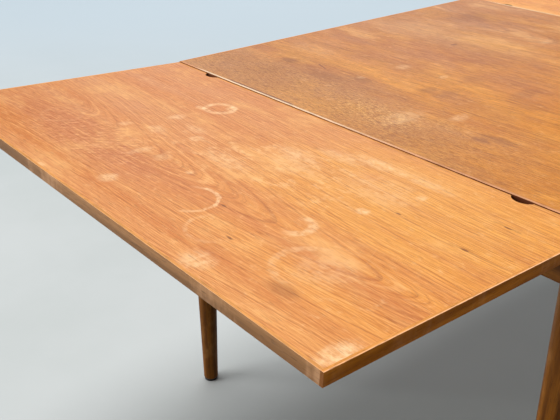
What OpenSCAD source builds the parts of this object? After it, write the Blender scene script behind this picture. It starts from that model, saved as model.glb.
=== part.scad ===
// Draw leaf dining table in teak: a loose veneered top between two leaves that slide on
// tapered bearers, on a frame with four round tapered legs. Both leaves are drawn out.
// Millimetres, +Z up. The origin is on the floor, under the centre of the top.
// Near is -X, far is +X, left is +Y and right is -Y.

/* [Top and leaves] */
// Width of the top and of both leaves
table_w = 840; // [700:5:950]
// Length of the main top, from seam to seam
top_l = 858; // [700:2:1100]
// Height of the main top's upper face over the floor
table_h = 732; // [690:1:780]
// Thickness of the top and of each leaf
panel_t = 15; // [13:0.5:25]
// Gap that the two leaves leave between them when both are pushed in
leaf_gap = 12; // [6:1:40]
// Width of the solid lipping round each panel
lip = 4; // [2:0.5:12]
// Thickness of the face and back veneers
veneer = 0.8; // [0.5:0.1:2]
// Radius of the half-moon notches in each leaf's inner edge
notch_r = 17; // [17:0.5:25]
// Distance of the notches and of the locating pegs from the middle of the width
notch_y = 316; // [250:1:360]

/* [How the leaves lie] */
// Upward tilt of a drawn leaf, in degrees
tilt = 3.2; // [0:0.1:5]
// Depth of a drawn leaf's inner edge below the top's upper face
leaf_drop = 1.3; // [0:0.1:5]
// Gap at the seam between a drawn leaf and the top
seam_gap = 0.6; // [0.5:0.1:4]
// Travel of a leaf outward past the closed seam, to its stop
over_draw = 15; // [5:1:30]

/* [Frame] */
// Distance of each leg's axis from the top's ends
leg_inset_x = 24; // [20:0.5:80]
// Distance of each leg's axis from the top's long edges
leg_inset_y = 20; // [18:0.5:80]
// Distance of the end aprons' middle planes from the top's ends
apron_inset = 27; // [22:0.5:80]
// Diameter of a leg at the aprons
leg_top_d = 54; // [35:0.5:70]
// Diameter of a leg at the foot
leg_foot_d = 31; // [30:0.5:50]
// Height over the floor at which the taper starts
taper_z = 632; // [300:1:633]
// Thickness of the aprons
apron_t = 20; // [15:1:30]
// Height of the aprons
apron_h = 65; // [45:1:100]
// Depth of the aprons' upper edges below the top's upper face
apron_drop = 34; // [32:0.5:50]

/* [Bearers and rails] */
// Width of a bearer
bearer_w = 22; // [15:1:35]
// Reach of a bearer inward from its leaf's inner edge
bearer_in = 390; // [380:1:400]
// Reach of a bearer outward from its leaf's inner edge
bearer_out = 400; // [300:1:410]
// Distance of a guide rail's middle plane from the middle of the width
rail_y = 200; // [150:1:240]
// Thickness of a guide rail
rail_t = 24; // [20:1:32]
// Height of a guide rail
rail_h = 36; // [30:1:50]
// Radius of a guide pin
pin_r = 5; // [3:0.5:7]

/* [Pegs] */
// Radius of a locating peg's shoulder
shoulder_r = 15.5; // [12:0.5:16]
// Radius of a locating peg's pin
peg_r = 10; // [6:0.5:12]
// Length of a locating peg's pin below its shoulder
peg_l = 36; // [20:1:50]

/* [Hidden] */
$fn = 48;

teak_leaf = [0.80, 0.52, 0.28];
teak_top = [0.66, 0.42, 0.23];
teak_edge = [0.50, 0.33, 0.19];
teak_dark = [0.42, 0.26, 0.15];
board = [0.76, 0.66, 0.50];
beech = [0.84, 0.70, 0.52];
steel = [0.62, 0.62, 0.60];
black = [0.08, 0.08, 0.08];
felt = [0.20, 0.30, 0.22];

half_w = table_w / 2;
half_l = top_l / 2;
leaf_l = (top_l - leaf_gap) / 2;
pad_t = 2;
foot_z = 5;
glide_r = 14;
nail_r = 1.5;
nail_l = 14;

leg_x = half_l - leg_inset_x;
leg_y = half_w - leg_inset_y;
apron_x = half_l - apron_inset;
leg_r = leg_top_d / 2;
foot_r = leg_foot_d / 2;
frame_z = table_h - apron_drop;
apron_z = frame_z - apron_h;

tenon_t = 8;
tenon_z = apron_z + 8;
tenon_h = apron_h - 16;
tenon_reach = 18;

// A leaf's own axes: the origin is the upper arris of its inner edge, +X is inward.
pin_x = 375;
pin_z = -panel_t - 16;
pin_rest = [
  -seam_gap + pin_x * cos(tilt) + pin_z * sin(tilt),
  -leaf_drop - pin_x * sin(tilt) + pin_z * cos(tilt)
];
pin_shut = [half_l - leaf_gap / 2 + pin_x, -panel_t - pad_t - 0.5 + pin_z];
travel = pin_shut[0] - pin_rest[0];
groove_slope = atan((pin_shut[1] - pin_rest[1]) / travel);
groove_r = pin_r + 1.5;
groove_d = 8;
side_play = 1;
support_x = apron_inset;
support_z = -52;
notch_side = 1;

outer_y = rail_y + rail_t / 2 + side_play + bearer_w / 2;
inner_y = rail_y - rail_t / 2 - side_play - bearer_w / 2;

screw_r = 2;
head_r = 4;
head_h = 2.5;
recess_r = 4.8;
bearer_screw_x = [-350, -200, -50];
bearer_screw_z = -panel_t - 11;

block_a = 25;
block_c = 80;
block_z = apron_z + 7;
block_h = 32;
block_screw = 55;

peg_block_l = 100;
peg_block_y = notch_y - 33;
peg_block_h = 30;
tongue_t = 12;
tongue_d = 6;

// The tilt of a leaf that has been pushed in by s.
function tilt_at(s) = tilt * (1 - s / travel);

// Where the guide pin stands then, from the seam and the top's upper face.
function pin_at(s) = [
  pin_rest[0] + s,
  pin_rest[1] + (pin_shut[1] - pin_rest[1]) * s / travel
];

// Where the apron's support then lies in the leaf's own axes.
function support_at(s) =
  let (
    a = tilt_at(s),
    d = [support_x, support_z] - pin_at(s)
  )
  [pin_x + d[0] * cos(a) - d[1] * sin(a), pin_z + d[0] * sin(a) + d[1] * cos(a)];

module place_top() {
  translate([half_l, 0, table_h]) children();
}

module place_near_leaf() {
  translate([-half_l - seam_gap, 0, table_h - leaf_drop]) rotate([0, tilt, 0]) children();
}

module place_far_leaf() {
  rotate([0, 0, 180]) place_near_leaf() children();
}

// Panels: x runs from -l to 0, y is centred and z from -panel_t to 0.
module notches() {
  for (y = [-notch_y, notch_y])
    translate([leaf_gap / 2, y, -panel_t - 1]) cylinder(r = notch_r, h = panel_t + 2, $fn = 64);
}

module core(l) {
  translate([-l + lip, -half_w + lip, -panel_t + veneer])
    cube([l - 2 * lip, table_w - 2 * lip, panel_t - 2 * veneer]);
}

module skin(l, z) {
  translate([-l + lip, -half_w + lip, z]) cube([l - 2 * lip, table_w - 2 * lip, veneer]);
}

module cross_lipping(x) {
  translate([x, -half_w + lip, -panel_t]) cube([lip, table_w - 2 * lip, panel_t]);
}

module long_lipping(l, y) {
  translate([-l, y, -panel_t]) cube([l, lip, panel_t]);
}

module leaf_core() {
  difference() {
    core(leaf_l);
    notches();
    bearer_screw_holes(screw_r);
  }
}

module leaf_face() {
  difference() {
    skin(leaf_l, -veneer);
    notches();
  }
}

module leaf_back() {
  difference() {
    skin(leaf_l, -panel_t);
    notches();
    bearer_screw_holes(screw_r);
  }
}

module leaf_inner_lipping() {
  difference() {
    cross_lipping(-lip);
    notches();
  }
}

// Bearers: side view in the leaf's x and z, swept across y.
module bearer_side() {
  low = [for (n = [-1 : 14]) support_at(n < 0 ? -over_draw - 3 : travel * n / 14)];
  polygon(concat(
    [[-bearer_out, -panel_t], [-bearer_out, -panel_t - 12]],
    [for (n = [15 : -1 : 0]) low[n]],
    [[bearer_in - 12, pin_z - 13], [bearer_in, pin_z - 4], [bearer_in, -panel_t - 6]],
    [[bearer_in - 30, -panel_t - 0.5], [-1, -panel_t - 0.5], [-1, -panel_t]]
  ));
}

module bearer(y) {
  difference() {
    translate([0, y + bearer_w / 2, 0]) rotate([90, 0, 0]) linear_extrude(bearer_w) bearer_side();
    guide_pin(y);
    for (x = bearer_screw_x) {
      translate([x, y, bearer_screw_z - 1]) cylinder(r = screw_r, h = 20);
      translate([x, y, bearer_screw_z - 40]) cylinder(r = recess_r, h = 40);
    }
  }
}

module guide_pin(y) {
  translate([pin_x, y - bearer_w / 2 - side_play - groove_d + 1.5, pin_z])
    rotate([-90, 0, 0]) cylinder(r = pin_r, h = 14 + side_play + groove_d - 1.5);
}

module bearer_screw_holes(r) {
  for (x = bearer_screw_x)
    for (y = [outer_y, -inner_y])
      translate([x, y, bearer_screw_z]) cylinder(r = r, h = 20);
}

module bearer_screws() {
  for (x = bearer_screw_x)
    for (y = [outer_y, -inner_y])
      translate([x, y, bearer_screw_z]) {
        cylinder(r = screw_r, h = 20);
        translate([0, 0, -head_h]) cylinder(r = head_r, h = head_h);
      }
}

module guide_pins() {
  guide_pin(outer_y);
  guide_pin(-inner_y);
}

// Frame pieces.
module leg_side() {
  polygon([
    [0, foot_z], [foot_r - 1.5, foot_z], [foot_r, foot_z + 2],
    [leg_r, taper_z], [leg_r, frame_z - 2], [leg_r - 2, frame_z], [0, frame_z]
  ]);
}

// sx and sy point to the leg's corner of the table.
module leg(sx, sy) {
  difference() {
    translate([sx * leg_x, sy * leg_y, 0]) rotate_extrude($fn = 72) leg_side();
    end_tenon(sx, sy);
    side_tenon(sx, sy);
    translate([sx * leg_x, sy * leg_y, foot_z - 1]) cylinder(r = nail_r, h = nail_l + 1);
  }
}

module end_tenon(sx, sy) {
  y0 = leg_y - leg_r - 4;
  translate([sx * apron_x - tenon_t / 2, sy > 0 ? y0 : -y0 - tenon_reach - 4, tenon_z])
    cube([tenon_t, tenon_reach + 4, tenon_h]);
}

module side_tenon(sx, sy) {
  x0 = leg_x - leg_r - 4;
  translate([sx > 0 ? x0 : -x0 - tenon_reach - 4, sy * leg_y - tenon_t / 2, tenon_z])
    cube([tenon_reach + 4, tenon_t, tenon_h]);
}

module leg_clear(sx, sy) {
  translate([sx * leg_x, sy * leg_y, apron_z - 1]) cylinder(r = leg_r, h = apron_h + 2, $fn = 72);
}

// The end apron at the near end. A bearer rides in each of its two notches.
module end_apron() {
  difference() {
    union() {
      difference() {
        translate([-apron_x - apron_t / 2, -leg_y, apron_z]) cube([apron_t, 2 * leg_y, apron_h]);
        leg_clear(-1, 1);
        leg_clear(-1, -1);
      }
      end_tenon(-1, 1);
      end_tenon(-1, -1);
    }
    for (y = [outer_y, -inner_y])
      translate([-half_l + support_x, y, table_h + support_z - 0.3])
        rotate([0, tilt, 0])
          translate([-40, -bearer_w / 2 - notch_side, 0])
            cube([80, bearer_w + 2 * notch_side, 40]);
    rail_tenon(-1, 1);
    rail_tenon(-1, -1);
    corner_screw_set(screw_r);
  }
}

module side_apron() {
  difference() {
    union() {
      difference() {
        translate([-leg_x, leg_y - apron_t / 2, apron_z]) cube([2 * leg_x, apron_t, apron_h]);
        leg_clear(-1, 1);
        leg_clear(1, 1);
      }
      side_tenon(-1, 1);
      side_tenon(1, 1);
    }
    peg_tongue();
    corner_screw_set(screw_r);
  }
}

module rail_tenon(sx, sy) {
  x0 = apron_x - apron_t / 2 - 1;
  translate([sx > 0 ? x0 : -x0 - 11, sy * rail_y - 6, frame_z - rail_h + 6])
    cube([11, 12, rail_h - 12]);
}

// The left guide rail: the near leaf's pin runs in its outer face, the far leaf's in its inner.
module rail_groove() {
  x0 = -half_l + pin_rest[0] - over_draw - 1;
  z0 = table_h + pin_rest[1] - (over_draw + 1) * tan(groove_slope);
  run = travel + over_draw + 2;
  translate([x0, rail_y + rail_t / 2 - groove_d, z0]) rotate([0, -groove_slope, 0]) {
    translate([0, 0, -groove_r]) cube([run, groove_d + 1, 2 * groove_r]);
    for (x = [0, run])
      translate([x, 0, 0]) rotate([-90, 0, 0]) cylinder(r = groove_r, h = groove_d + 1);
  }
}

module guide_rail() {
  x0 = apron_x - apron_t / 2;
  difference() {
    union() {
      translate([-x0, rail_y - rail_t / 2, frame_z - rail_h]) cube([2 * x0, rail_t, rail_h]);
      rail_tenon(-1, 1);
      rail_tenon(1, 1);
    }
    rail_groove();
    translate([0, 2 * rail_y, 0]) rotate([0, 0, 180]) rail_groove();
  }
}

module peg_tongue() {
  translate([-peg_block_l / 2, leg_y - apron_t / 2 - 1, frame_z - peg_block_h / 2 - tongue_t / 2])
    cube([peg_block_l, tongue_d + 1, tongue_t]);
}

module peg_block() {
  difference() {
    union() {
      translate([-peg_block_l / 2, peg_block_y, frame_z - peg_block_h])
        cube([peg_block_l, leg_y - apron_t / 2 - peg_block_y, peg_block_h]);
      peg_tongue();
    }
    translate([0, notch_y, frame_z - peg_block_h - 1])
      cylinder(r = peg_r + 0.3, h = peg_block_h + 2, $fn = 64);
  }
}

// A corner block's own axes start at the inner corner of two aprons.
module corner_block_plan() {
  polygon([[block_a, 0], [block_c, 0], [0, block_c], [0, block_a]]);
}

module place_corner(sx, sy) {
  translate([sx * (apron_x - apron_t / 2), sy * (leg_y - apron_t / 2), block_z])
    mirror([sx > 0 ? 1 : 0, 0, 0]) mirror([0, sy > 0 ? 1 : 0, 0]) children();
}

module corner_pair(r, head) {
  for (turn = [0, 1])
    mirror([turn, -turn, 0])
      translate([-14, block_screw, block_h / 2]) rotate([0, 90, 0]) {
        cylinder(r = r, h = 30);
        if (head == 1) translate([0, 0, 30]) cylinder(r = head_r, h = head_h);
        if (head == 2) translate([0, 0, 30]) cylinder(r = recess_r, h = 30);
      }
}

module corner_block(sx, sy) {
  place_corner(sx, sy) difference() {
    linear_extrude(block_h) corner_block_plan();
    corner_pair(screw_r, 2);
  }
}

module corner_screw_set(r) {
  for (sx = [-1, 1])
    for (sy = [-1, 1])
      place_corner(sx, sy) corner_pair(r, 0);
}

module corner_screws_solid() {
  for (sx = [-1, 1])
    for (sy = [-1, 1])
      place_corner(sx, sy) corner_pair(screw_r, 1);
}

module glides() {
  for (sx = [-1, 1])
    for (sy = [-1, 1])
      translate([sx * leg_x, sy * leg_y, 0]) {
        cylinder(r = glide_r, h = foot_z);
        cylinder(r = nail_r, h = foot_z + nail_l);
      }
}

// Locating peg: a tenon in the top, a shoulder that stands on the block and a pin.
module peg_side() {
  polygon([
    [0, frame_z - peg_l], [peg_r - 2, frame_z - peg_l], [peg_r, frame_z - peg_l + 3],
    [peg_r, frame_z], [shoulder_r, frame_z], [shoulder_r, table_h - panel_t],
    [peg_r, table_h - panel_t], [peg_r, table_h - panel_t + 8], [0, table_h - panel_t + 8]
  ]);
}

module peg(y) {
  translate([0, y, 0]) rotate_extrude($fn = 64) peg_side();
}

module peg_bores() {
  for (y = [-notch_y, notch_y])
    translate([-half_l, y, -panel_t - 1]) cylinder(r = peg_r, h = 9, $fn = 64);
}

module top_core() {
  difference() {
    core(top_l);
    peg_bores();
  }
}

module top_back() {
  difference() {
    skin(top_l, -panel_t);
    peg_bores();
  }
}

module pads() {
  at = [
    [-half_l + 24, outer_y], [-half_l + 24, -inner_y],
    [half_l - 24, -outer_y], [half_l - 24, inner_y],
    [-210, 330], [-210, -330], [210, 330], [210, -330]
  ];
  for (p = at)
    translate([p[0], p[1], table_h - panel_t - pad_t]) cylinder(r = 10, h = pad_t);
}

module near_left_leg() { color(teak_dark) leg(-1, 1); }
module near_right_leg() { color(teak_dark) leg(-1, -1); }
module far_left_leg() { color(teak_dark) leg(1, 1); }
module far_right_leg() { color(teak_dark) leg(1, -1); }
module foot_glides() { color(black) glides(); }
module near_end_apron() { color(teak_dark) end_apron(); }
module far_end_apron() { color(teak_dark) rotate([0, 0, 180]) end_apron(); }
module left_side_apron() { color(teak_dark) side_apron(); }
module right_side_apron() { color(teak_dark) rotate([0, 0, 180]) side_apron(); }
module left_guide_rail() { color(beech) guide_rail(); }
module right_guide_rail() { color(beech) rotate([0, 0, 180]) guide_rail(); }
module left_peg_block() { color(beech) peg_block(); }
module right_peg_block() { color(beech) rotate([0, 0, 180]) peg_block(); }
module near_left_corner_block() { color(beech) corner_block(-1, 1); }
module near_right_corner_block() { color(beech) corner_block(-1, -1); }
module far_left_corner_block() { color(beech) corner_block(1, 1); }
module far_right_corner_block() { color(beech) corner_block(1, -1); }
module corner_screws() { color(steel) corner_screws_solid(); }

module main_top_core() { color(board) place_top() top_core(); }
module main_top_face_veneer() { color(teak_top) place_top() skin(top_l, -veneer); }
module main_top_back_veneer() { color(teak_dark) place_top() top_back(); }
module main_top_near_lipping() { color(teak_edge) place_top() cross_lipping(-top_l); }
module main_top_far_lipping() { color(teak_edge) place_top() cross_lipping(-lip); }
module main_top_left_lipping() { color(teak_edge) place_top() long_lipping(top_l, half_w - lip); }
module main_top_right_lipping() { color(teak_edge) place_top() long_lipping(top_l, -half_w); }
module left_locating_peg() { color(beech) peg(notch_y); }
module right_locating_peg() { color(beech) peg(-notch_y); }
module felt_pads() { color(felt) pads(); }

module near_leaf_core() { color(board) place_near_leaf() leaf_core(); }
module near_leaf_face_veneer() { color(teak_leaf) place_near_leaf() leaf_face(); }
module near_leaf_back_veneer() { color(teak_dark) place_near_leaf() leaf_back(); }
module near_leaf_outer_lipping() { color(teak_edge) place_near_leaf() cross_lipping(-leaf_l); }
module near_leaf_inner_lipping() { color(teak_edge) place_near_leaf() leaf_inner_lipping(); }
module near_leaf_left_lipping() { color(teak_edge) place_near_leaf() long_lipping(leaf_l, half_w - lip); }
module near_leaf_right_lipping() { color(teak_edge) place_near_leaf() long_lipping(leaf_l, -half_w); }
module near_leaf_left_bearer() { color(beech) place_near_leaf() bearer(outer_y); }
module near_leaf_right_bearer() { color(beech) place_near_leaf() bearer(-inner_y); }
module near_leaf_bearer_screws() { color(steel) place_near_leaf() bearer_screws(); }
module near_leaf_guide_pins() { color(beech) place_near_leaf() guide_pins(); }

module far_leaf_core() { color(board) place_far_leaf() leaf_core(); }
module far_leaf_face_veneer() { color(teak_leaf) place_far_leaf() leaf_face(); }
module far_leaf_back_veneer() { color(teak_dark) place_far_leaf() leaf_back(); }
module far_leaf_outer_lipping() { color(teak_edge) place_far_leaf() cross_lipping(-leaf_l); }
module far_leaf_inner_lipping() { color(teak_edge) place_far_leaf() leaf_inner_lipping(); }
module far_leaf_left_lipping() { color(teak_edge) place_far_leaf() long_lipping(leaf_l, -half_w); }
module far_leaf_right_lipping() { color(teak_edge) place_far_leaf() long_lipping(leaf_l, half_w - lip); }
module far_leaf_left_bearer() { color(beech) place_far_leaf() bearer(-inner_y); }
module far_leaf_right_bearer() { color(beech) place_far_leaf() bearer(outer_y); }
module far_leaf_bearer_screws() { color(steel) place_far_leaf() bearer_screws(); }
module far_leaf_guide_pins() { color(beech) place_far_leaf() guide_pins(); }

near_left_leg();
near_right_leg();
far_left_leg();
far_right_leg();
foot_glides();
near_end_apron();
far_end_apron();
left_side_apron();
right_side_apron();
left_guide_rail();
right_guide_rail();
left_peg_block();
right_peg_block();
near_left_corner_block();
near_right_corner_block();
far_left_corner_block();
far_right_corner_block();
corner_screws();
main_top_core();
main_top_face_veneer();
main_top_back_veneer();
main_top_near_lipping();
main_top_far_lipping();
main_top_left_lipping();
main_top_right_lipping();
left_locating_peg();
right_locating_peg();
felt_pads();
near_leaf_core();
near_leaf_face_veneer();
near_leaf_back_veneer();
near_leaf_outer_lipping();
near_leaf_inner_lipping();
near_leaf_left_lipping();
near_leaf_right_lipping();
near_leaf_left_bearer();
near_leaf_right_bearer();
near_leaf_bearer_screws();
near_leaf_guide_pins();
far_leaf_core();
far_leaf_face_veneer();
far_leaf_back_veneer();
far_leaf_outer_lipping();
far_leaf_inner_lipping();
far_leaf_left_lipping();
far_leaf_right_lipping();
far_leaf_left_bearer();
far_leaf_right_bearer();
far_leaf_bearer_screws();
far_leaf_guide_pins();
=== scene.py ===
import math
import bmesh
import bpy
from mathutils import Matrix, Vector


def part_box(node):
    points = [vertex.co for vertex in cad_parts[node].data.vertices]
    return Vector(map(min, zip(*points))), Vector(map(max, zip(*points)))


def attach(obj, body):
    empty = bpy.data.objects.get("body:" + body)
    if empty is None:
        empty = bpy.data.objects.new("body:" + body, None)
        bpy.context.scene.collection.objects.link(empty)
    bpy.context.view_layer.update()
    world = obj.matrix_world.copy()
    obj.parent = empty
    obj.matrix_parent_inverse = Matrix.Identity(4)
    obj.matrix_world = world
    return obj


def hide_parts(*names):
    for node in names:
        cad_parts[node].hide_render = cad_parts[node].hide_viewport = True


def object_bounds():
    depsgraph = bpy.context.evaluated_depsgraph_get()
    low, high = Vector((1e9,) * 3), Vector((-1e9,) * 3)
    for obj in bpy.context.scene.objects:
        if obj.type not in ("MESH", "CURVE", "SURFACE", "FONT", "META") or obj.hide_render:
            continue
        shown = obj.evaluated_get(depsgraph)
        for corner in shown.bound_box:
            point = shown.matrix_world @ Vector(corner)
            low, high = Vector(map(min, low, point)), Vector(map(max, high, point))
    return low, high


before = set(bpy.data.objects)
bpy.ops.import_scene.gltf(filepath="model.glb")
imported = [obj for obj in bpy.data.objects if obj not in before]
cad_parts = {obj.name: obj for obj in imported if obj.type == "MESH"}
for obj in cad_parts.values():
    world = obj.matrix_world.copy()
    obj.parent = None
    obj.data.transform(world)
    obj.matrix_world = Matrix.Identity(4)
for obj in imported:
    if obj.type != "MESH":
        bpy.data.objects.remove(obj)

CAD_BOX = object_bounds()
MM = 0.001

# The table's own measures, from the frame
SEAM_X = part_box("main_top_far_lipping")[1].x
END_X = CAD_BOX[1].x
HALF_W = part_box("main_top_left_lipping")[1].y

# Camera: the photograph's angle
CAMERA_AT = (-1.1903, -0.7658, 1.1454)
CAMERA_YAW = math.radians(49.736)
CAMERA_PITCH = math.radians(27.251)
CAMERA_ROLL = math.radians(0.2455)
CAMERA_NEAREST, CAMERA_FARTHEST = 0.05, 60.0
LENS = 50.155
SENSOR = 36.0


def tone(red, green, blue):
    """A display colour, 0 to 255 a channel, as the linear colour that a shader takes."""
    def linear(value):
        value /= 255
        return value / 12.92 if value <= 0.04045 else ((value + 0.055) / 1.055) ** 2.4
    return (linear(red), linear(green), linear(blue), 1.0)


def darker(color, share):
    """The same hue at that share of its brightness."""
    return tuple(share * channel for channel in color[:3]) + (1.0,)


def finer(cells, times):
    """A pattern's cells to the metre along x, y and z, made that many times finer."""
    return tuple(times * count for count in cells)


class Shade:
    """One material and short names for its nodes. Places are in metres in the shared frame."""

    def __init__(self, name, turn=1):
        """turn is -1 for a pattern that is turned half round about z, as on the far leaf."""
        self.material = bpy.data.materials.new(name)
        self.material.use_nodes = True
        self.tree = self.material.node_tree
        self.surface = self.tree.nodes["Principled BSDF"]
        coordinates = self.node("ShaderNodeTexCoord")
        self.place = self.times(coordinates.outputs["Object"], (turn, turn, 1))
        self.normal = coordinates.outputs["Normal"]
        self.x, self.y, _ = self.split(self.place)

    def node(self, kind, inputs=(), **settings):
        """A new node of that kind. inputs gives a value or another node's output for each socket."""
        made = self.tree.nodes.new(kind)
        for key, value in settings.items():
            setattr(made, key, value)
        for key, value in dict(inputs).items():
            self.feed(made.inputs[key], value)
        return made

    def feed(self, socket, value):
        if isinstance(value, bpy.types.NodeSocket):
            self.tree.links.new(value, socket)
        else:
            socket.default_value = value

    def combine(self, operation, first, second=0.0):
        return self.node("ShaderNodeMath", {0: first, 1: second}, operation=operation).outputs[0]

    def add(self, first, *others):
        for other in others:
            first = self.combine("ADD", first, other)
        return first

    def scale(self, value, factor):
        return self.combine("MULTIPLY", value, factor)

    def vector(self, operation, first, second=(0, 0, 0)):
        return self.node("ShaderNodeVectorMath", {0: first, 1: second}, operation=operation)

    def times(self, vector, factors):
        return self.vector("MULTIPLY", vector, factors).outputs[0]

    def split(self, vector):
        made = self.node("ShaderNodeSeparateXYZ", {0: vector})
        return made.outputs[0], made.outputs[1], made.outputs[2]

    def noise(self, cells, detail=2.0, roughness=0.5, seed=0.0, slant=0.0):
        """Noise from 0 to 1. cells is how many there are to the metre along x, y and z, and slant turns
        them about z, in degrees."""
        place = self.place
        if slant:
            turned = {"Vector": place, "Angle": math.radians(slant)}
            place = self.node("ShaderNodeVectorRotate", turned, rotation_type="Z_AXIS").outputs[0]
        inputs = {
            "Vector": self.times(place, cells),
            "W": seed,
            "Scale": 1.0,
            "Detail": detail,
            "Roughness": roughness,
        }
        return self.node("ShaderNodeTexNoise", inputs, noise_dimensions="4D").outputs["Fac"]

    def fade(self, value, start, end, low=0.0, high=1.0):
        """Smoothly from low to high as value goes from start to end."""
        inputs = {"Value": value, "From Min": start, "From Max": end, "To Min": low, "To Max": high}
        return self.node("ShaderNodeMapRange", inputs, interpolation_type="SMOOTHSTEP").outputs["Result"]

    def mix(self, amount, under, over):
        """The colour under, covered by the colour over by that amount."""
        made = self.node("ShaderNodeMix", data_type="RGBA")
        self.feed(made.inputs[0], amount)
        self.feed(made.inputs[6], under)
        self.feed(made.inputs[7], over)
        return made.outputs[2]

    def tinted(self, color, *layers):
        """color under more layers. Each is a pattern, where it starts and where it is full, its greatest
        strength and its colour."""
        for pattern, start, full, strength, over in layers:
            color = self.mix(self.fade(pattern, start, full, high=strength), color, over)
        return color

    def rim(self, value, edge):
        """1 within 0.7 mm of an edge and 0 from 1.7 mm, on both sides of the table."""
        return self.fade(self.combine("ABSOLUTE", value), edge - 1.7 * MM, edge - 0.7 * MM)

    def finish(self, color, roughness, bump, height, **sockets):
        """The finished material. bump is the relief, height metres deep."""
        self.feed(self.surface.inputs["Base Color"], color)
        self.feed(self.surface.inputs["Roughness"], roughness)
        relief = self.node("ShaderNodeBump", {"Height": bump, "Strength": 1.0, "Distance": height})
        self.feed(self.surface.inputs["Normal"], relief.outputs[0])
        for key, value in sockets.items():
            self.surface.inputs[key.replace("_", " ")].default_value = value
        return self.material


# Veneers. The grain of the top and the leaves runs across the table, along y. Marks are placed one by
# one.
# A mark's place is in millimetres: first from the near seam towards the far end, then from the middle
# towards the left.

class Veneer(Shade):
    """A veneered face: bands, streaks and pores, clouds of wear, scuffs and fine scratches."""

    def __init__(self, name, turn=1, seed=0.0):
        super().__init__(name, turn)
        self.seed = seed
        self.ragged = self.add(self.noise((90, 90, 0), detail=4.0, roughness=0.65, seed=seed), -0.5)
        self.bands = self.noise((24, 1.0, 0), detail=3.0, seed=seed)
        self.streaks = self.noise((400, 8, 0), detail=5.0, roughness=0.80, seed=seed)
        self.fibres = self.noise((1000, 26, 0), detail=3.0, roughness=0.8, seed=seed + 6)
        self.pores = self.fade(self.noise((620, 46, 0), detail=1.0, seed=seed), 0.62, 0.70)
        self.clouds = self.noise((11, 5, 0), detail=5.0, roughness=0.65, seed=seed)
        dents = self.noise((90, 60, 0), detail=4.0, roughness=0.7, seed=seed + 3)
        self.scuffs = self.fade(dents, 0.54, 0.72)

    def figure(self, axis, spacing, flank, width):
        """Flat-sawn grain from 0 to 1: nested arches that open towards +y and run out into straight
        lines. The arches stand on the line x = axis. spacing is how far apart they are on it, flank how
        far apart beside it, and width how broad their tips are."""
        sway = self.scale(self.add(self.noise((2.2, 2.6, 0), detail=1.0, seed=self.seed), -0.5), 50 * MM)
        wave = self.add(self.noise((34, 24, 0), detail=2.0, seed=self.seed + 1), -0.5)
        off = self.add(self.x, -axis, sway)
        bow = self.combine("SQRT", self.add(self.scale(off, off), width * width))
        arches = self.add(self.scale(self.y, 1 / spacing), self.scale(bow, -1 / flank))
        field = self.add(arches, self.scale(wave, 1.3))
        inputs = {"W": field, "Scale": 0.7, "Detail": 5.0, "Roughness": 0.7}
        return self.node("ShaderNodeTexNoise", inputs, noise_dimensions="1D").outputs["Fac"]

    def scratches(self, slant, seed):
        """Patches of fine parallel scratches at an angle to the grain."""
        lines = self.noise((7, 330, 0), detail=2.0, roughness=0.6, seed=seed, slant=slant)
        fine = self.fade(lines, 0.60, 0.70)
        where = self.fade(self.noise((13, 9, 0), detail=3.0, seed=seed + 1), 0.50, 0.64)
        return self.scale(fine, where)

    def broken(self, amount, cells, seed):
        """amount, worn away in small uneven places."""
        kept = self.fade(self.noise(cells, detail=4.0, roughness=0.75, seed=seed), 0.38, 0.60, 0.2, 1.0)
        return self.scale(amount, kept)

    def reach(self, x, y, wide, tall, uneven):
        """Distance from a mark's middle, 1 at its outline, and the vector that it is the length of."""
        middle = (x * MM - SEAM_X, y * MM, 0)
        away = self.vector("SUBTRACT", self.place, middle).outputs[0]
        away = self.times(away, (1 / (wide * MM), 1 / (tall * MM), 0))
        size = self.vector("LENGTH", away).outputs["Value"]
        return self.add(size, self.scale(self.ragged, uneven)), away

    def blots(self, amount, *rows):
        """Soft spots, added to amount. Each is a place, half a width, half a length and a strength."""
        for x, y, wide, tall, strength in rows:
            size, _ = self.reach(x, y, wide, tall, uneven=0.9)
            amount = self.add(amount, self.fade(size, 1.25, 0.35, high=strength))
        return amount

    def patches(self, color, rows):
        """color with soft patches of other tones: rows as for blots, each with its colour after it."""
        for *spot, over in rows:
            color = self.mix(self.blots(0.0, spot), color, over)
        return color

    def rings(self, amount, rows):
        """The rims that wet cups leave, added to amount. Each row is a place, a radius, a width, a
        strength, and the direction of the side that shows in degrees from +x, or None for all of it."""
        for x, y, radius, width, strength, side in rows:
            size, away = self.reach(x, y, radius, radius, uneven=0.30)
            off = self.combine("ABSOLUTE", self.add(size, -1.0))
            rim = self.fade(off, width / radius, 0.3 * width / radius, high=strength)
            if side is not None:
                facing = (math.cos(math.radians(side)), math.sin(math.radians(side)), 0)
                along = self.vector("DOT_PRODUCT", away, facing).outputs["Value"]
                rim = self.scale(rim, self.fade(along, -0.35, 0.45))
            amount = self.add(amount, rim)
        return amount

    def line(self, amount, start, end, width, strength, wander=4):
        """A thin mark from start to end that wanders sideways, added to amount. width and wander are in
        millimetres."""
        run = Vector(end) - Vector(start)
        middle = (Vector(start) + Vector(end)) / 2
        cosine, sine = run.normalized()
        from_x = self.add(self.x, SEAM_X - middle.x * MM)
        from_y = self.add(self.y, -middle.y * MM)
        along = self.add(self.scale(from_x, cosine), self.scale(from_y, sine))
        across = self.add(self.scale(from_x, -sine), self.scale(from_y, cosine))
        half = run.length / 2 * MM
        within = self.fade(self.combine("ABSOLUTE", along), half, half / 1.3)
        across = self.add(across, self.scale(self.ragged, wander * MM))
        near = self.fade(self.combine("ABSOLUTE", across), width * MM, 0.3 * width * MM, high=strength)
        return self.add(amount, self.scale(within, near))


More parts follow.
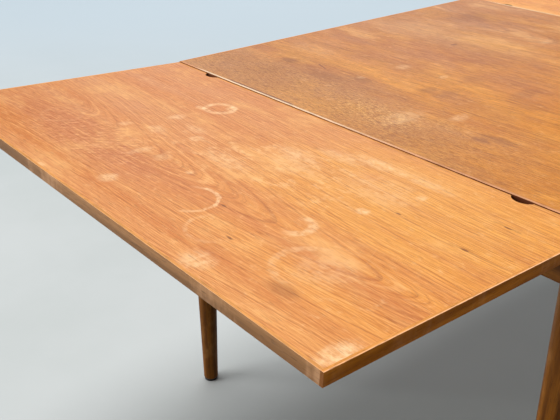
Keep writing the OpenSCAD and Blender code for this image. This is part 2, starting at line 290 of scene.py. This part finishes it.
# The near leaf's wear, as rows for patches, blots and rings
LEAF_PATCHES = (
    (-325, 150, 48, 270, 0.62, tone(184, 100, 62)),
    (-130, -240, 130, 240, 0.45, tone(238, 170, 62)),
    (-100, 161, 19, 19, 0.55, tone(206, 118, 54)),
)
LEAF_CURL = (-318, 165, 62, 150, 1.0)
LEAF_RUBBED = ((-165, -85, 95, 150, 1.0), (-230, 60, 60, 110, 0.7))
LEAF_RINGS = (
    (-100, 158, 22, 7, 0.62, None),
    (-325, -90, 34, 3.5, 0.70, -50),
    (-310, 259, 30, 4, 0.12, None),
    (-271, -210, 21, 8, 0.60, -70),
    (-318, -292, 40, 7, 0.30, 110),
    (-345, -168, 32, 4, 0.25, 150),
)
LEAF_BLOTS = (
    (-84, 148, 12, 8, 0.60), (-122, 176, 7, 12, 0.60), (-370, 15, 15, 13, 0.55),
    (-400, -214, 19, 22, 0.60), (-397, -409, 28, 14, 0.85), (-417, 97, 7, 8, 0.60),
    (-280, -26, 7, 7, 0.50), (-205, 69, 11, 11, 0.60), (-184, -229, 9, 9, 0.75),
    (-100, -244, 10, 7, 0.40), (-63, -139, 15, 44, 0.55), (-160, -85, 20, 60, 0.30),
    (-292, 71, 22, 9, 0.40), (-178, 160, 16, 12, 0.50), (-255, 175, 12, 9, 0.35),
    (-220, -20, 20, 50, 0.35), (-280, 35, 15, 12, 0.35), (-185, 100, 10, 26, 0.35),
    (-310, -300, 40, 34, 0.25), (-120, -200, 40, 60, 0.25), (-130, -55, 22, 46, 0.35),
    (-85, -95, 16, 40, 0.40), (-60, -215, 14, 60, 0.35), (-230, 130, 12, 18, 0.40),
)
LEAF_STAIN = (-368, -306, 12, 22, 0.35)
# Specks are a place and a size
LEAF_SPECKS = (
    (-346, -195, 3), (-304, -128, 2.5), (-155, -257, 2.5), (-164, -356, 2.8), (-82, -352, 2.8),
)
LEAF_CRACKS = (((-80, -330), (-82, -372)), ((-164, -330), (-165, -410)))

# The main top's wear, in the same way, and the x of the joints between its strips of veneer
TOP_PATCHES = (
    (120, 250, 80, 260, 0.60, tone(178, 108, 56)),
    (238, 250, 40, 220, 0.45, tone(220, 144, 56)),
    (320, 300, 40, 160, 0.35, tone(204, 126, 66)),
    (400, 190, 50, 200, 0.60, tone(178, 102, 50)),
    (530, 230, 80, 270, 0.50, tone(218, 160, 100)),
    (680, 300, 70, 170, 0.55, tone(176, 110, 60)),
    (235, -60, 66, 170, 0.50, tone(226, 148, 34)),
    (350, -110, 44, 100, 0.45, tone(198, 118, 48)),
)
TOP_PALEST = ((85, 0, 60, 90, 0.50), (150, -95, 60, 60, 0.50))
TOP_DARK_BLOTS = (
    (161, 296, 13, 22, 0.45), (232, -10, 32, 18, 0.25), (330, 10, 30, 20, 0.20),
    (690, 290, 70, 40, 0.25), (95, 275, 30, 20, 0.20), (150, 190, 24, 50, 0.25),
    (330, -95, 40, 18, 0.25), (482, 172, 10, 6, 0.60), (130, -185, 14, 34, 0.30),
    (112, -170, 8, 16, 0.50), (180, 130, 14, 30, 0.35), (225, 20, 22, 14, 0.35),
)
TOP_PALE_BLOTS = (
    (290, 135, 16, 14, 0.40), (188, 140, 9, 9, 0.40), (300, 50, 14, 8, 0.40),
    (640, 70, 24, 14, 0.30), (100, -40, 45, 24, 0.40), (160, -95, 24, 12, 0.40),
    (245, 330, 30, 60, 0.20),
)
TOP_SCRATCH = ((186, 246), (174, 212))
# A dark line beside the near seam
TOP_SEAM_DARK_LINE = ((5, 285), (5, 100))
TOP_JOINTS = (190, 289, 505, 700)
TOP_JOINT_END = 410


def leaf_wear(wood, color):
    """Curly grain and rubbed places on the used leaf."""
    curl = wood.noise((60, 190, 0), detail=4.0, roughness=0.75, seed=21.0, slant=28)
    curled = wood.blots(0.0, LEAF_CURL)
    dark = wood.scale(curled, wood.fade(curl, 0.50, 0.36, high=0.60))
    pale = wood.scale(curled, wood.fade(curl, 0.52, 0.66, high=0.60))
    smears = wood.noise((56, 30, 0), detail=6.0, roughness=0.72, seed=23.0)
    rubbed = wood.scale(wood.blots(0.0, *LEAF_RUBBED), wood.fade(smears, 0.51, 0.63, high=0.45))
    color = wood.mix(dark, color, tone(170, 88, 48))
    color = wood.mix(pale, color, tone(250, 192, 140))
    return wood.mix(rubbed, color, tone(250, 202, 144))


def leaf_marks(wood, color):
    """Cup rings, pale blots, dark specks and cracks on the used leaf."""
    pale = wood.blots(wood.rings(0.0, LEAF_RINGS), *LEAF_BLOTS)
    pale = wood.broken(pale, (110, 80, 0), seed=wood.seed + 5)
    dark = wood.blots(0.0, LEAF_STAIN)
    for x, y, size in LEAF_SPECKS:
        dark = wood.blots(dark, (x, y, 0.7 * size, 2 * size, 0.85))
    for start, end in LEAF_CRACKS:
        dark = wood.line(dark, start, end, width=1.2, strength=0.4)
    color = wood.mix(wood.combine("MINIMUM", pale, 0.85), color, tone(248, 206, 156))
    return wood.mix(wood.combine("MINIMUM", dark, 0.90), color, tone(120, 62, 30))


def leaf_veneer(name, turn, seed, used):
    """Honey-coloured teak, pinker towards the left and paler at the outer end. used adds the marks."""
    wood = Veneer(name, turn, seed)
    figure = wood.figure(axis=-SEAM_X - 274 * MM, spacing=22 * MM, flank=1.9 * MM, width=45 * MM)
    color = wood.mix(wood.fade(wood.y, -HALF_W, HALF_W), tone(228, 150, 60), tone(207, 138, 90))
    color = wood.tinted(
        color,
        (wood.x, -SEAM_X - 0.30, -SEAM_X - 0.42, 0.45, tone(222, 158, 110)),
        (wood.bands, 0.35, 0.68, 1.00, tone(204, 122, 60)))
    if used:
        color = wood.patches(color, LEAF_PATCHES)
    color = wood.tinted(
        color,
        (figure, 0.49, 0.36, 0.60, tone(170, 92, 42)),
        (figure, 0.52, 0.68, 0.35, tone(246, 184, 118)),
        (wood.streaks, 0.52, 0.36, 0.30, tone(172, 92, 38)),
        (wood.streaks, 0.47, 0.64, 0.30, tone(246, 184, 106)),
        (wood.fibres, 0.50, 0.38, 0.52, tone(164, 86, 34)),
        (wood.fibres, 0.52, 0.64, 0.45, tone(250, 192, 120)),
        (wood.clouds, 0.50, 0.68, 0.50, tone(242, 186, 120)),
        (wood.clouds, 0.46, 0.30, 0.50, tone(212, 126, 48)))
    scratches = wood.combine("MAXIMUM", wood.scratches(35, seed + 11), wood.scratches(-28, seed + 14))
    color = wood.mix(wood.scale(wood.scuffs, 0.30), color, tone(252, 208, 152))
    color = wood.mix(wood.scale(scratches, 0.10), color, tone(250, 208, 158))
    if used:
        color = leaf_marks(wood, leaf_wear(wood, color))
    color = wood.mix(wood.scale(wood.pores, 0.40), color, tone(132, 74, 30))
    roughness = wood.add(wood.fade(wood.clouds, 0.3, 0.8, 0.40, 0.56), wood.scale(wood.scuffs, 0.10))
    bump = wood.add(wood.scale(wood.streaks, 0.4), wood.scale(wood.pores, -1.0), wood.scale(figure, 0.3))
    return wood.finish(color, roughness, bump, 0.12 * MM, Specular_IOR_Level=0.30)


def top_wear(wood, color, flecks):
    """Dry, speckled wood beside the near seam, and scuffs and scratches all over the main top."""
    uneven = wood.add(wood.noise((9, 4, 0), detail=5.0, roughness=0.7, seed=14.0), -0.5)
    beside = wood.fade(wood.add(wood.x, wood.scale(uneven, 0.35)), -0.22, -0.33)
    worn = wood.scale(beside, wood.fade(wood.y, -0.36, -0.05, 0.30, 1.0))
    pale = wood.scale(wood.blots(0.35, *TOP_PALEST), wood.scale(worn, wood.fade(flecks, 0.50, 0.58)))
    dark = wood.scale(worn, wood.fade(flecks, 0.49, 0.41, high=0.62))
    color = wood.mix(wood.scale(worn, 0.30), color, tone(168, 114, 62))
    color = wood.mix(pale, color, tone(234, 184, 112))
    color = wood.mix(dark, color, tone(112, 64, 34))
    color = wood.mix(wood.scale(wood.scuffs, 0.35), color, tone(228, 176, 124))
    return wood.mix(wood.scale(wood.scratches(40, 31.0), 0.45), color, tone(232, 184, 134))


def top_marks(wood, color):
    """Dark and pale blots, a scratch, a dark line beside the seam and the joints between the veneer's
    strips.
    """
    dark = wood.blots(0.0, *TOP_DARK_BLOTS)
    dark = wood.line(dark, *TOP_SCRATCH, width=2, strength=0.8)
    dark = wood.line(dark, *TOP_SEAM_DARK_LINE, width=4.0, strength=1.0, wander=1.5)
    for x in TOP_JOINTS:
        dark = wood.line(dark, (x, -TOP_JOINT_END), (x, TOP_JOINT_END), width=1.2, strength=0.35)
    pale = wood.broken(wood.blots(0.0, *TOP_PALE_BLOTS), (120, 70, 0), seed=8.0)
    color = wood.mix(wood.combine("MINIMUM", dark, 0.85), color, tone(118, 64, 42))
    return wood.mix(wood.combine("MINIMUM", pale, 0.80), color, tone(238, 192, 140))


def top_veneer(name):
    """Browner, more worn teak in slip-matched strips, amber towards the right."""
    wood = Veneer(name, seed=5.0)
    figure = wood.figure(axis=220 * MM, spacing=30 * MM, flank=2.6 * MM, width=140 * MM)
    stains = wood.noise((13, 5, 0), detail=7.0, roughness=0.68, seed=12.0)
    flecks = wood.noise((560, 84, 0), detail=5.0, roughness=0.85, seed=2.0)
    farther = wood.fade(wood.add(wood.x, wood.y), -0.2, 0.5)
    golden = wood.mix(farther, tone(234, 158, 60), tone(228, 170, 110))
    color = wood.mix(wood.fade(wood.y, -0.30, 0.30), tone(208, 126, 20), tone(188, 120, 58))
    color = wood.tinted(color, (wood.bands, 0.36, 0.66, 0.50, tone(186, 110, 52)))
    color = wood.patches(color, TOP_PATCHES)
    color = wood.tinted(
        color,
        (stains, 0.47, 0.60, 0.50, tone(164, 92, 44)),
        (stains, 0.48, 0.36, 0.60, golden),
        (wood.clouds, 0.50, 0.68, 0.45, tone(224, 160, 84)),
        (figure, 0.50, 0.30, 0.45, tone(134, 72, 34)),
        (wood.streaks, 0.50, 0.34, 0.50, tone(132, 70, 28)),
        (wood.streaks, 0.48, 0.66, 0.42, tone(232, 168, 86)),
        (wood.fibres, 0.50, 0.36, 0.65, tone(128, 70, 26)),
        (wood.fibres, 0.52, 0.66, 0.32, tone(236, 180, 108)))
    color = top_marks(wood, top_wear(wood, color, flecks))
    color = wood.mix(wood.scale(wood.pores, 0.45), color, tone(92, 52, 28))
    roughness = wood.fade(wood.clouds, 0.3, 0.8, 0.42, 0.58)
    bump = wood.add(wood.scale(wood.streaks, 0.4), wood.scale(wood.pores, -1.0), wood.scale(flecks, 0.2))
    return wood.finish(color, roughness, bump, 0.14 * MM, Specular_IOR_Level=0.30)


# Solid wood and the small materials

def solid_teak(name, cells, pale, dark, worn, patchy=0.3, gloss=0.12, ends=None, face=None,
               bleached=None):
    """Solid teak, worn pale on its arrises; that pale is also a painted highlight.
    cells is the pattern's cells to the metre along x, y and z, few along the grain. patchy is how much
    of it is worn in patches. ends is the colour of the end grain that faces along x, face the colour of
    the upper side, like the panel beside it, and bleached the colour of that side's worn left part."""
    wood = Shade(name)
    fine = wood.noise(finer(cells, 9), detail=3.0, roughness=0.7)
    wide = wood.noise(cells, detail=3.0)
    pores = wood.fade(wood.noise(finer(cells, 24), detail=1.0, seed=4.0), 0.58, 0.68)
    patches = wood.fade(wood.noise((22, 22, 9), detail=4.0, roughness=0.65, seed=7.0), 0.52, 0.70)
    endward, _, upward = wood.split(wood.normal)
    # The pale on the upward-facing bevels is wear and a painted highlight
    arris_wear_and_highlight = wood.scale(wood.fade(upward, 0.10, 0.35), wood.fade(upward, 0.98, 0.90))
    color = wood.mix(wood.fade(wide, 0.32, 0.68), pale, dark)
    color = wood.tinted(color, (fine, 0.40, 0.72, 0.45, dark))
    color = wood.mix(wood.scale(patches, patchy), color, worn)
    if ends is not None:
        color = wood.mix(wood.fade(wood.combine("ABSOLUTE", endward), 0.80, 0.95), color, ends)
    if bleached is not None:
        left_part = wood.scale(wood.fade(wood.y, -0.20, 0.12), wood.fade(wood.y, 0.38, 0.33))
        face = wood.mix(left_part, face, bleached)
    if face is not None:
        grained = wood.tinted(face, (fine, 0.40, 0.60, 0.30, dark))
        color = wood.tinted(color, (upward, 0.90, 0.99, 0.90, grained))
        # A pale strip along the outer top edges: wear and a painted highlight
        outermost = wood.combine("MAXIMUM", wood.rim(wood.x, END_X), wood.rim(wood.y, HALF_W))
        arris_wear_and_highlight = wood.combine("MAXIMUM", arris_wear_and_highlight, wood.scale(outermost, wood.fade(upward, 0.80, 0.95)))
    color = wood.mix(wood.scale(arris_wear_and_highlight, wood.fade(wide, 0.30, 0.60, 0.45, 0.90)), color, worn)
    color = wood.mix(wood.scale(pores, 0.5), color, darker(dark, 0.3))
    roughness = wood.fade(fine, 0.3, 0.8, 0.42, 0.60)
    bump = wood.add(wood.scale(fine, 0.5), wood.scale(pores, -1.0))
    return wood.finish(color, roughness, bump, 0.15 * MM, Specular_IOR_Level=gloss)


def raw_wood(name, cells, pale, dark):
    """Unfinished wood on the hidden parts."""
    wood = Shade(name)
    wide = wood.noise(cells, detail=3.0)
    fine = wood.noise(finer(cells, 12), detail=3.0, roughness=0.7)
    flecks = wood.fade(wood.noise(finer(cells, 30), detail=1.0, seed=2.0), 0.60, 0.70)
    color = wood.mix(wide, pale, dark)
    color = wood.tinted(color, (fine, 0.40, 0.75, 0.40, dark))
    color = wood.mix(wood.scale(flecks, 0.4), color, darker(dark, 0.55))
    return wood.finish(color, wood.fade(fine, 0.3, 0.8, 0.60, 0.78), fine, 0.2 * MM)


def particle_board(name):
    """Pressed chips, seen only at the notches."""
    board = Shade(name)
    cells = board.times(board.place, (300, 180, 500))
    chips = board.node("ShaderNodeTexVoronoi", {"Vector": cells, "Scale": 1.0}).outputs["Distance"]
    color = board.mix(chips, tone(206, 178, 132), tone(140, 106, 66))
    return board.finish(color, 0.85, chips, 0.4 * MM)


def plated_steel(name):
    """Zinc with dull spots."""
    steel = Shade(name)
    spots = steel.noise((900, 900, 900), detail=3.0)
    color = steel.mix(steel.fade(spots, 0.45, 0.7), tone(196, 194, 186), tone(128, 122, 110))
    return steel.finish(color, steel.fade(spots, 0.3, 0.8, 0.30, 0.55), spots, 0.05 * MM, Metallic=1.0)


def glide_plastic(name):
    """Black plastic, scuffed grey."""
    plastic = Shade(name)
    scuffs = plastic.noise((500, 500, 300), detail=4.0, roughness=0.7)
    color = plastic.mix(plastic.fade(scuffs, 0.5, 0.75), tone(22, 24, 24), tone(70, 70, 68))
    return plastic.finish(color, plastic.fade(scuffs, 0.3, 0.8, 0.38, 0.65), scuffs, 0.1 * MM)


def green_felt(name):
    """Matted fibres with a soft sheen."""
    felt = Shade(name)
    fibres = felt.noise((2600, 2600, 2600), detail=4.0, roughness=0.8)
    color = felt.mix(fibres, tone(52, 74, 54), tone(96, 118, 92))
    return felt.finish(color, 0.95, fibres, 0.6 * MM, Sheen_Weight=0.4, Sheen_Roughness=0.6)


def floor_paint(name):
    """Pale grey, mottled, and bluer beyond the table."""
    paint = Shade(name)
    mottle = paint.noise((1.3, 1.3, 1.3), detail=5.0, roughness=0.6)
    grit = paint.noise((160, 160, 160), detail=2.0)
    color = paint.mix(paint.fade(mottle, 0.3, 0.7), tone(176, 182, 182), tone(184, 189, 190))
    color = paint.mix(paint.fade(paint.add(paint.x, paint.y), 0.8, 5.0), color, tone(174, 187, 196))
    return paint.finish(color, 0.7, grit, 0.1 * MM, Specular_IOR_Level=0.3)


# Which finish each CAD node gets
ALONG_X, ALONG_Y, ALONG_Z = (2.5, 60, 60), (60, 2.5, 60), (60, 60, 2.5)
# The pale of worn arrises, which is also a painted highlight
ARRIS_WEAR_AND_HIGHLIGHT = tone(244, 190, 146)
LEAF_FACE = tone(232, 160, 88)
# The leaf's end lippings: paler and greyer than the sides, partly their own colour and partly painted
# light, as the ends face the lamps
END_WOOD_WITH_PAINTED_LIGHT = {"pale": tone(168, 122, 80), "dark": tone(124, 86, 52), "worn": ARRIS_WEAR_AND_HIGHLIGHT}
# Red-brown, and darker than the end wood as painted shade, since these faces show only down in the seam
# and the notches
SEAM_WOOD_WITH_PAINTED_SHADE = {"pale": tone(150, 84, 44), "dark": tone(104, 52, 26), "worn": ARRIS_WEAR_AND_HIGHLIGHT}
SEAM_FACE = {"face": tone(222, 160, 116), "bleached": tone(255, 226, 190)}
# The lengthwise lippings: darker and more orange than the ends, partly their own colour and partly
# painted shade, as on a side turned from the lamps
SIDE_WOOD_WITH_PAINTED_SHADE = {
    "pale": tone(192, 114, 22),
    "dark": tone(146, 80, 10),
    "worn": ARRIS_WEAR_AND_HIGHLIGHT,
    "ends": tone(128, 82, 46),
    "patchy": 0.1,
    "gloss": 0.02,
}
LEG_WOOD = {"pale": tone(138, 84, 24), "dark": tone(82, 44, 6), "worn": tone(182, 130, 72)}
BEECH = {"pale": tone(216, 182, 138), "dark": tone(188, 146, 102)}

TOP_LENGTHWISE = solid_teak("top_lipping_lengthwise", ALONG_X, face=tone(200, 130, 64), **SIDE_WOOD_WITH_PAINTED_SHADE)
TOP_ACROSS = solid_teak("top_lipping_across", ALONG_Y, **SEAM_WOOD_WITH_PAINTED_SHADE, **SEAM_FACE)
LEAF_LENGTHWISE = solid_teak("leaf_lipping_lengthwise", ALONG_X, face=LEAF_FACE, **SIDE_WOOD_WITH_PAINTED_SHADE)
LEAF_ACROSS = solid_teak("leaf_lipping_across", ALONG_Y, face=LEAF_FACE, **END_WOOD_WITH_PAINTED_LIGHT)
BEECH_LENGTHWISE = raw_wood("beech_lengthwise", ALONG_X, **BEECH)
BEECH_ACROSS = raw_wood("beech_across", ALONG_Y, **BEECH)
FELT = green_felt("green_felt")

# The first ending that a node's name has gives its finish
FINISHES = {
    "near_leaf_face_veneer": leaf_veneer("near_leaf_veneer", turn=1, seed=0.0, used=True),
    "far_leaf_face_veneer": leaf_veneer("far_leaf_veneer", turn=-1, seed=9.0, used=False),
    "main_top_face_veneer": top_veneer("main_top_veneer"),
    "main_top_left_lipping": TOP_LENGTHWISE,
    "main_top_right_lipping": TOP_LENGTHWISE,
    "main_top_near_lipping": TOP_ACROSS,
    "main_top_far_lipping": TOP_ACROSS,
    "left_lipping": LEAF_LENGTHWISE,
    "right_lipping": LEAF_LENGTHWISE,
    "lipping": LEAF_ACROSS,
    "back_veneer": raw_wood("back_veneer", ALONG_Y, tone(150, 106, 68), tone(116, 76, 46)),
    "core": particle_board("particle_board"),
    "leg": solid_teak("leg_teak", ALONG_Z, gloss=0.08, **LEG_WOOD),
    "end_apron": solid_teak("apron_across", ALONG_Y, patchy=0.2, **LEG_WOOD),
    "side_apron": solid_teak("apron_lengthwise", ALONG_X, patchy=0.2, **LEG_WOOD),
    "bearer": BEECH_LENGTHWISE,
    "rail": BEECH_LENGTHWISE,
    "peg_block": BEECH_LENGTHWISE,
    "corner_block": BEECH_ACROSS,
    "guide_pins": BEECH_ACROSS,
    "peg": raw_wood("beech_upright", ALONG_Z, **BEECH),
    "screws": plated_steel("plated_steel"),
    "foot_glides": glide_plastic("glide_plastic"),
    "felt_pads": FELT,
}

# How far each kind of edge is worn round, in millimetres
BEVELS = {"leg": 0.8, "apron": 1.2, "lipping": 0.5, "bearer": 1.0, "rail": 1.0, "block": 1.0}
SHARP_EDGE = math.radians(40)


def first_match(table, name):
    """The value for the first ending in the table that the name has, or None."""
    for ending, value in table.items():
        if name.endswith(ending):
            return value
    return None


for name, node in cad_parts.items():
    node.data.materials.clear()
    node.data.materials.append(first_match(FINISHES, name))
    width = first_match(BEVELS, name)
    if width is not None:
        bevel = node.modifiers.new("Worn edges", "BEVEL")
        bevel.width = width * MM
        bevel.segments = 2
        bevel.limit_method = "ANGLE"
        bevel.angle_limit = SHARP_EDGE


# Felt pads under the main top: discs cut by hand, with soft rims
PAD_RADIUS = 10 * MM
PAD_INSET = 24 * MM
PAD_REST_X, PAD_REST_Y = 210 * MM, 330 * MM
PAD_SIDES = 40
PAD_UNEVEN = 0.015
PAD_PROFILE = ((0.86, 0.0), (0.97, 0.2), (1.0, 0.5), (0.97, 0.82), (0.90, 1.0), (0.5, 1.0))


def felt_disc(mesh, x, y, low, high, turn):
    """One disc from z low to high. PAD_PROFILE gives each ring's radius and height as shares of the
    disc's, and turn turns its uneven outline."""
    def ring(share, height):
        z = low + height * (high - low)
        made = []
        for n in range(PAD_SIDES):
            angle = math.tau * n / PAD_SIDES
            radius = share * PAD_RADIUS * (1 - PAD_UNEVEN + PAD_UNEVEN * math.sin(3 * angle + turn))
            made.append(mesh.verts.new((x + radius * math.cos(angle), y + radius * math.sin(angle), z)))
        return made

    rings = [ring(share, height) for share, height in PAD_PROFILE]
    for lower, upper in zip(rings, rings[1:]):
        for n in range(PAD_SIDES):
            after = (n + 1) % PAD_SIDES
            mesh.faces.new((lower[n], lower[after], upper[after], upper[n]))
    mesh.faces.new(list(reversed(rings[0])))
    mesh.faces.new(rings[-1])


def pad_places():
    """A pad over each bearer at both ends, and four where the top lies on its side pieces."""
    places = []
    for leaf, end in (("near", -1), ("far", 1)):
        for side in ("left", "right"):
            low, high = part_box(f"{leaf}_leaf_{side}_bearer")
            places.append((end * (SEAM_X - PAD_INSET), (low.y + high.y) / 2))
    for x in (-PAD_REST_X, PAD_REST_X):
        for y in (-PAD_REST_Y, PAD_REST_Y):
            places.append((x, y))
    return places


def felt_pads():
    """All the pads as one piece, which stands for the CAD's plain discs."""
    low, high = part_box("felt_pads")
    mesh = bmesh.new()
    for number, (x, y) in enumerate(pad_places()):
        felt_disc(mesh, x, y, low.z, high.z, turn=number)
    data = bpy.data.meshes.new("felt_discs")
    mesh.to_mesh(data)
    mesh.free()
    for face in data.polygons:
        face.use_smooth = len(face.vertices) == 4
    discs = bpy.data.objects.new("felt_discs", data)
    data.materials.append(FELT)
    bpy.context.collection.objects.link(discs)
    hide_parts("felt_pads")
    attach(discs, "main_top")


felt_pads()


# Floor and light
FLOOR_SIDE = 28.0
SUN_TOWARDS = (-0.3, 0.55, 5.3)
SUN_SPREAD = math.radians(38)
SUN_ENERGY = 3.15
SUN_COLOR = (1.0, 0.985, 0.965)
WORLD_COLOR = (0.84, 0.88, 0.92, 1.0)
WORLD_STRENGTH = 0.14

bpy.ops.mesh.primitive_plane_add(size=FLOOR_SIDE, location=(0, 0, 0))
floor = bpy.context.object
floor.name = "floor"
floor.data.materials.append(floor_paint("floor_paint"))


def place_light(name, kind, power, color):
    """A lamp of that kind. Its size and place are still to be set."""
    lamp = bpy.data.lights.new(name, kind)
    lamp.energy = power
    lamp.color = color
    holder = bpy.data.objects.new(name, lamp)
    bpy.context.collection.objects.link(holder)
    return lamp, holder


def window(name, at, aim, size, power, color):
    """A large soft light at one place, aimed at another."""
    lamp, holder = place_light(name, "AREA", power, color)
    lamp.shape = "RECTANGLE"
    lamp.size, lamp.size_y = size
    holder.location = at
    holder.rotation_euler = (Vector(aim) - Vector(at)).to_track_quat("-Z", "Y").to_euler()


sky, overhead = place_light("overhead", "SUN", SUN_ENERGY, SUN_COLOR)
sky.angle = SUN_SPREAD
overhead.rotation_euler = Vector(SUN_TOWARDS).to_track_quat("Z", "Y").to_euler()

window(
    "far_window", at=(3.6, 4.2, 2.6), aim=(-0.2, 0.0, 0.7), size=(4.5, 2.4),
    power=45, color=(0.92, 0.97, 1.0))
window(
    "left_window", at=(-7.4, 4.6, 3.0), aim=(-0.6, 0.0, 0.6), size=(4.4, 3.6),
    power=540, color=(1.0, 0.99, 0.97))

world = bpy.data.worlds.new("studio")
world.use_nodes = True
background = world.node_tree.nodes["Background"]
background.inputs["Color"].default_value = WORLD_COLOR
background.inputs["Strength"].default_value = WORLD_STRENGTH
bpy.context.scene.world = world
bpy.context.scene.view_settings.view_transform = "Standard"


# Camera
camera_data = bpy.data.cameras.new("camera")
camera_data.lens = LENS
camera_data.sensor_width = SENSOR
camera_data.clip_start = CAMERA_NEAREST
camera_data.clip_end = CAMERA_FARTHEST
camera = bpy.data.objects.new("camera", camera_data)
camera.matrix_world = (
    Matrix.Translation(CAMERA_AT)
    @ Matrix.Rotation(CAMERA_YAW - math.pi / 2, 4, "Z")
    @ Matrix.Rotation(math.pi / 2 - CAMERA_PITCH, 4, "X")
    @ Matrix.Rotation(CAMERA_ROLL, 4, "Z"))
bpy.context.collection.objects.link(camera)
bpy.context.scene.camera = camera
